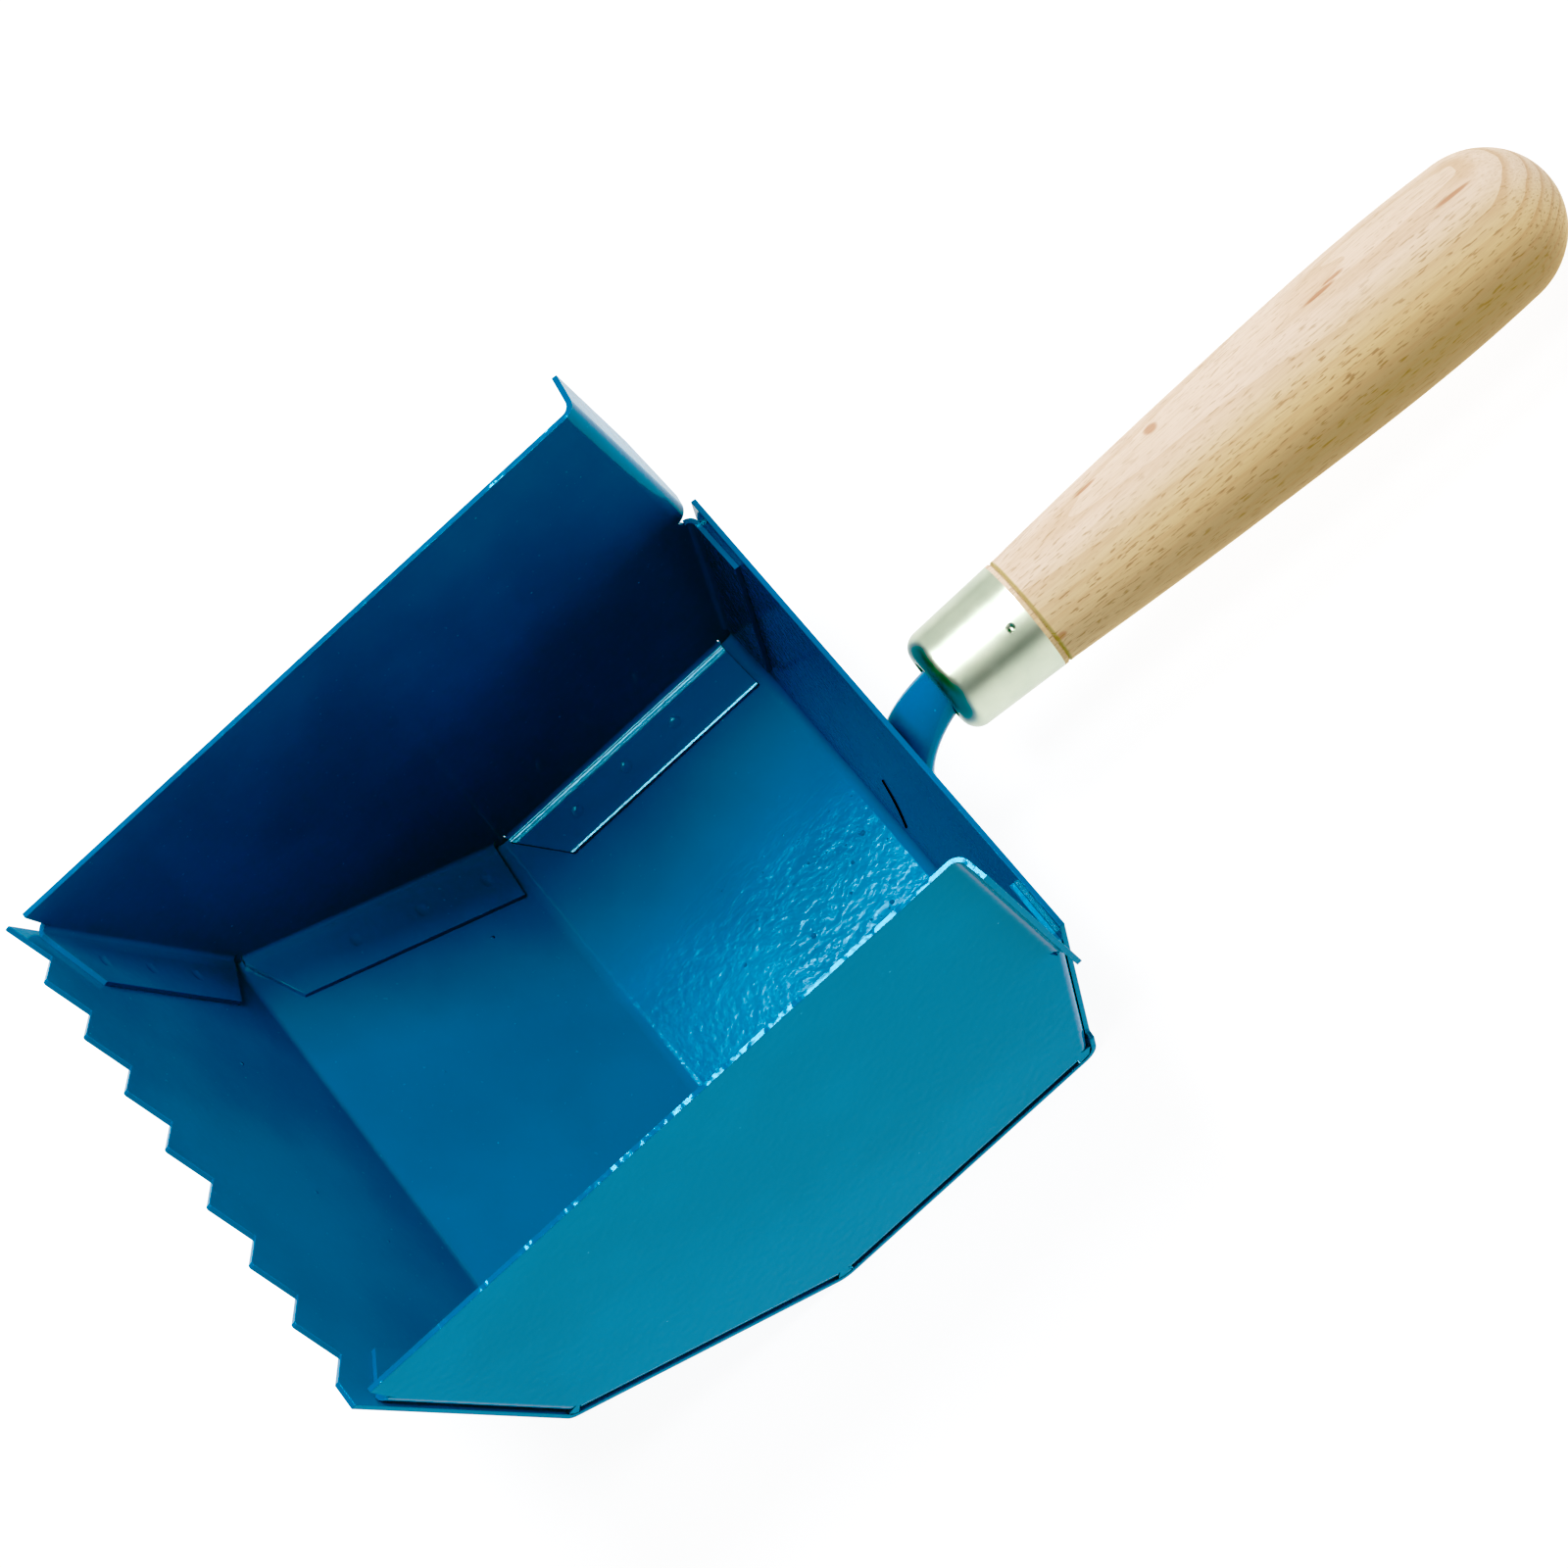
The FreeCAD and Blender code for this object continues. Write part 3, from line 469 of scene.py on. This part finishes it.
def plated_steel():
    """Zinc-plated drawn steel, clouded, with fine scratches along it."""
    g = Graph("plated_steel")
    place = handle_place(g)
    cloud = g.ramp(g.noise(place, size=9 * MM, detail=3), low=0.3, high=0.7)
    colour = g.mix(cloud, FERRULE_DARK, FERRULE_LIGHT)
    scratches = g.noise(g.moved(place, scale=(1, 0.05, 1)), size=0.3 * MM, detail=2)
    normal = g.bump(scratches, SCRATCH_DEPTH)
    gloss = g.ramp(g.noise(place, size=3 * MM, detail=2), low=0.3, high=0.7, to_low=0.33, to_high=0.38)
    return g.finish(Base_Color=colour, Metallic=1.0, Roughness=gloss, Normal=normal)


def wood_mark(g, along, turn, mark):
    """1 in the middle of a mark in the wood, falling to 0 at its edge."""
    station, angle, width, length = mark
    down_grain = g.math("DIVIDE", g.math("SUBTRACT", along, station * MM), length * MM / 2)
    arc = g.math("MULTIPLY", g.math("SUBTRACT", turn, math.radians(angle)), GRIP_RADIUS)
    over_grain = g.math("DIVIDE", arc, width * MM / 2)
    square = g.math("ADD", g.math("POWER", down_grain, 2.0), g.math("POWER", over_grain, 2.0))
    return g.ramp(square, low=0.2, high=1.0, to_low=1.0, to_high=0.0)


def growth_rings(g, place, wander):
    """Growth rings that run along the grip, 1 at the dark end of each."""
    pith = g.moved(place, location=PITH_OFFSET, scale=(1, 0.03, 1))
    radius = g.math("ADD", g.measure("LENGTH", pith), g.math("MULTIPLY", wander, RING_WANDER))
    ring = g.math("FRACT", g.math("MULTIPLY", radius, 1 / RING_SPACING))
    return g.ramp(ring, low=0.5, high=1.0)


def beech():
    """Turned beech: fibres, short dark flecks, growth rings that are stronger on the butt, red stains.
    Towards +X it turns tan, which is partly the wood's tone and partly painted shade, and the +X flank is
    darkened further as painted shade.
    """
    g = Graph("beech")
    place = handle_place(g)
    across, along, above = g.split(place)
    wander = g.noise(g.moved(place, scale=(1, 0.12, 1)), size=12 * MM, detail=2)
    colour = g.mix(g.ramp(wander, low=0.3, high=0.7), BEECH_PALE, BEECH_ROSY)
    # Painted shade: towards +X the grip turns tan, partly the wood's tone and partly shade, and its +X flank
    # darkens further. The flecks are also stronger on that side.
    side = g.ramp(across, low=-1 * MM, high=12 * MM)
    colour = g.mix(side, colour, BEECH_TAN_AND_SHADE)
    shaded_flank = g.ramp(across, low=9 * MM, high=15 * MM)
    colour = g.mix(shaded_flank, colour, BEECH_FLANK_SHADE)
    butt = g.ramp(along, BUTT_START, BUTT_START + BUTT_LENGTH, to_low=0.2, to_high=0.42)
    colour = g.mix(g.math("MULTIPLY", growth_rings(g, place, wander), butt), colour, BEECH_RING)
    fibre = g.noise(g.moved(place, scale=(1, 0.03, 1)), FIBRE_SIZE, detail=2)
    colour = g.mix(g.ramp(fibre, low=0.35, high=0.75, to_high=0.16), colour, BEECH_FIBRE)
    fleck = g.noise(g.moved(place, scale=(1, 0.12, 1)), FLECK_SIZE, detail=1)
    fleck = g.ramp(fleck, low=0.59, high=0.69)
    patch = g.noise(place, size=16 * MM, detail=2)
    strength = g.ramp(patch, low=0.35, high=0.65, to_low=0.16, to_high=0.36)
    strength = g.math("ADD", strength, g.math("MULTIPLY", side, 0.25))
    colour = g.mix(g.math("MULTIPLY", fleck, strength), colour, BEECH_FLECK)
    turn = g.math("ARCTAN2", across, above)
    for mark in WOOD_MARKS:
        stain = g.math("MULTIPLY", wood_mark(g, along, turn, mark), STAIN_STRENGTH)
        colour = g.mix(stain, colour, BEECH_STAIN)
    off_groove = g.math("ABSOLUTE", g.math("SUBTRACT", along, GROOVE_PLACE))
    groove = g.ramp(off_groove, 0.3 * GROOVE_WIDTH, GROOVE_WIDTH, to_low=0.6, to_high=0.0)
    colour = g.mix(groove, colour, BEECH_GROOVE)
    gloss = g.ramp(fibre, low=0.3, high=0.7, to_low=0.55, to_high=0.7)
    return g.finish(Base_Color=colour, Roughness=gloss, Normal=g.bump(fibre, FIBRE_DEPTH),
                    Specular_IOR_Level=0.15)


def weld_steel():
    """Scaly fused steel of the hidden nuggets."""
    g = Graph("weld_steel")
    scale = g.noise(g.place, size=0.5 * MM, detail=3)
    colour = g.mix(scale, (0.22, 0.22, 0.23, 1), (0.45, 0.44, 0.42, 1))
    gloss = g.ramp(scale, low=0.2, high=0.8, to_low=0.35, to_high=0.6)
    normal = g.bump(scale, distance=0.03 * MM)
    return g.finish(Base_Color=colour, Metallic=1.0, Roughness=gloss, Normal=normal)


def floor_finish():
    """Pale, softly glowing table."""
    g = Graph("pale_floor")
    return g.finish(Base_Color=FLOOR_COLOUR, Roughness=0.9, Specular_IOR_Level=0.0,
                    Emission_Color=(1, 1, 1, 1), Emission_Strength=FLOOR_GLOW)


def rounded_copy(node, name, material):
    """Copy of a sheet-metal node with its cut edges rounded, as paint rounds them. It stands for the node."""
    mesh = NODES[node].data.copy()
    mesh.name = name
    piece = add_object(name, mesh)
    work = bmesh.new()
    work.from_mesh(mesh)
    bmesh.ops.remove_doubles(work, verts=work.verts, dist=0.0005 * MM)
    bmesh.ops.dissolve_limit(work, angle_limit=FLAT_ANGLE, verts=work.verts, edges=work.edges)
    work.to_mesh(mesh)
    work.free()
    if "custom_normal" in mesh.attributes:
        mesh.attributes.remove(mesh.attributes["custom_normal"])
    mesh.materials.clear()
    mesh.materials.append(material)
    mesh.shade_smooth()
    edge = piece.modifiers.new("edge", "BEVEL")
    edge.width = EDGE_ROUNDING
    edge.segments = 3
    edge.limit_method = "ANGLE"
    edge.angle_limit = SHARP_ANGLE
    flat = piece.modifiers.new("flat", "WEIGHTED_NORMAL")
    flat.weight = 100
    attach(piece, "root")
    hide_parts(node)


def surface_of(node):
    """Search tree of a CAD node's surface."""
    work = bmesh.new()
    work.from_mesh(NODES[node].data)
    tree = BVHTree.FromBMesh(work)
    work.free()
    return tree


def add_piece(name, work, material, body="root"):
    """Turns a bmesh into a smooth piece that rides on a body."""
    bmesh.ops.recalc_face_normals(work, faces=work.faces)
    mesh = bpy.data.meshes.new(name)
    work.to_mesh(mesh)
    work.free()
    mesh.materials.append(material)
    mesh.shade_smooth()
    piece = add_object(name, mesh)
    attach(piece, body)
    return piece


def add_blister(work, centre, normal, radius):
    """Low closed bump in the paint, flatter towards its rim."""
    side = normal.orthogonal().normalized()
    other = normal.cross(side)
    peak = work.verts.new(centre + normal * radius * BLISTER_RISE)
    loops = []
    for ring in range(1, BLISTER_RINGS + 1):
        share = ring / BLISTER_RINGS
        height = radius * BLISTER_RISE * (1 - share * share) ** 2 - BLISTER_SINK * share
        loop = []
        for i in range(BLISTER_SIDES):
            turn = math.tau * i / BLISTER_SIDES
            out = side * math.cos(turn) + other * math.sin(turn)
            loop.append(work.verts.new(centre + out * radius * share + normal * height))
        loops.append(loop)
    for i in range(BLISTER_SIDES):
        work.faces.new((peak, loops[0][i - 1], loops[0][i]))
        for inner, outer in zip(loops, loops[1:]):
            work.faces.new((inner[i - 1], outer[i - 1], outer[i], inner[i]))
    work.faces.new(loops[-1])


def scattered_grains():
    """Places and radii of the dust grains, thicker towards the back panel."""
    dice = random.Random(GRAIN_SEED)
    (left, front), (right, back) = GRAIN_AREA
    grains = []
    for _ in range(GRAIN_COUNT):
        across = dice.uniform(left, right)
        along = back - (back - front) * dice.random() ** GRAIN_CROWDING
        grains.append((across, along, dice.uniform(*GRAIN_RADII)))
    return tuple(grains)


def add_blisters(material):
    """Blisters and dust grains in the paint of the rear floor."""
    floor = surface_of("scoop_sheet")
    work = bmesh.new()
    for across, along, radius in BLISTERS + scattered_grains():
        above = Vector((across * MM, along * MM, SEARCH_HEIGHT))
        place, normal, _, _ = floor.ray_cast(above, Vector((0, 0, -1)))
        add_blister(work, place, normal, radius * MM)
    add_piece("paint_blisters", work, material)


def add_seam(material):
    """Bowed seam on the back panel's inner face, a low ridge with pointed ends, coloured near black as
    painted shade of a slit.
    """
    panel = surface_of("scoop_sheet")
    run = (SEAM_FOOT - SEAM_TOP).normalized()
    bow_side = Vector((-run.z, 0.0, run.x))
    work = bmesh.new()
    rows = []
    for i in range(SEAM_STATIONS):
        share = i / (SEAM_STATIONS - 1)
        swell = math.sin(math.pi * share)
        middle = SEAM_TOP.lerp(SEAM_FOOT, share) + bow_side * SEAM_BOW * swell
        place, normal, _, _ = panel.ray_cast(middle, Vector((0, 1, 0)))
        width_share = SEAM_TIP_SHARE + (1 - SEAM_TIP_SHARE) * swell ** 0.5
        across = normal.cross(run).normalized() * (SEAM_WIDTH / 2 * width_share)
        crest = place + normal * SEAM_HEIGHT
        sunk = place - normal * BLISTER_SINK
        rows.append([work.verts.new(point) for point in (sunk - across, crest, sunk + across)])
    for before, after in zip(rows, rows[1:]):
        for i in range(3):
            work.faces.new((before[i - 1], before[i], after[i], after[i - 1]))
    work.faces.new(rows[0])
    work.faces.new(rows[-1])
    add_piece("painted_slit_shade", work, material)


def paint_node(node, material):
    """Gives a carried-over CAD node its material."""
    for slot in NODES[node].material_slots:
        slot.material = material


def add_floor():
    """Pale floor just under the scoop."""
    mesh = bpy.data.meshes.new("floor")
    half = FLOOR_SIZE / 2
    low = -FLOOR_GAP
    outline = [(-half, -half, low), (half, -half, low), (half, half, low), (-half, half, low)]
    mesh.from_pydata(outline, [], [(0, 1, 2, 3)])
    mesh.materials.append(floor_finish())
    floor = add_object("floor", mesh)


def add_world():
    """Sky that glows along the horizon and is nearly dark overhead."""
    world = bpy.data.worlds.new("sky")
    world.use_nodes = True
    tree = world.node_tree
    direction = tree.nodes.new("ShaderNodeTexCoord").outputs["Generated"]
    split = tree.nodes.new("ShaderNodeSeparateXYZ")
    tree.links.new(direction, split.inputs[0])
    fade = tree.nodes.new("ShaderNodeMapRange")
    fade.interpolation_type = "SMOOTHSTEP"
    tree.links.new(split.outputs[2], fade.inputs["Value"])
    fade.inputs["From Max"].default_value = HORIZON_TOP
    fade.inputs["To Min"].default_value = HORIZON_STRENGTH
    fade.inputs["To Max"].default_value = ZENITH_STRENGTH
    background = tree.nodes["Background"]
    background.inputs["Color"].default_value = (1, 1, 1, 1)
    tree.links.new(fade.outputs[0], background.inputs["Strength"])
    bpy.context.scene.world = world


def main():
    """Sets the scene round the trowel and gives every piece its looks."""
    set_grade()
    add_camera()
    add_world()
    add_lights()
    add_floor()
    paint = powder_coat("blue_powder_coat")
    plate_paint = powder_coat("blue_powder_coat_plates", pooled=True)
    rounded_copy("scoop_sheet", "scoop_sheet_painted", paint)
    for node in ("side_plate_left", "side_plate_right"):
        rounded_copy(node, node + "_painted", plate_paint)
    add_blisters(paint)
    add_seam(painted_slit_shade())
    paint_node("tang", paint)
    paint_node("tang_weld", paint)
    paint_node("ferrule", plated_steel())
    paint_node("handle_grip", beech())
    steel = weld_steel()
    for node in NODES:
        if node.startswith("spot_welds"):
            paint_node(node, steel)


main()
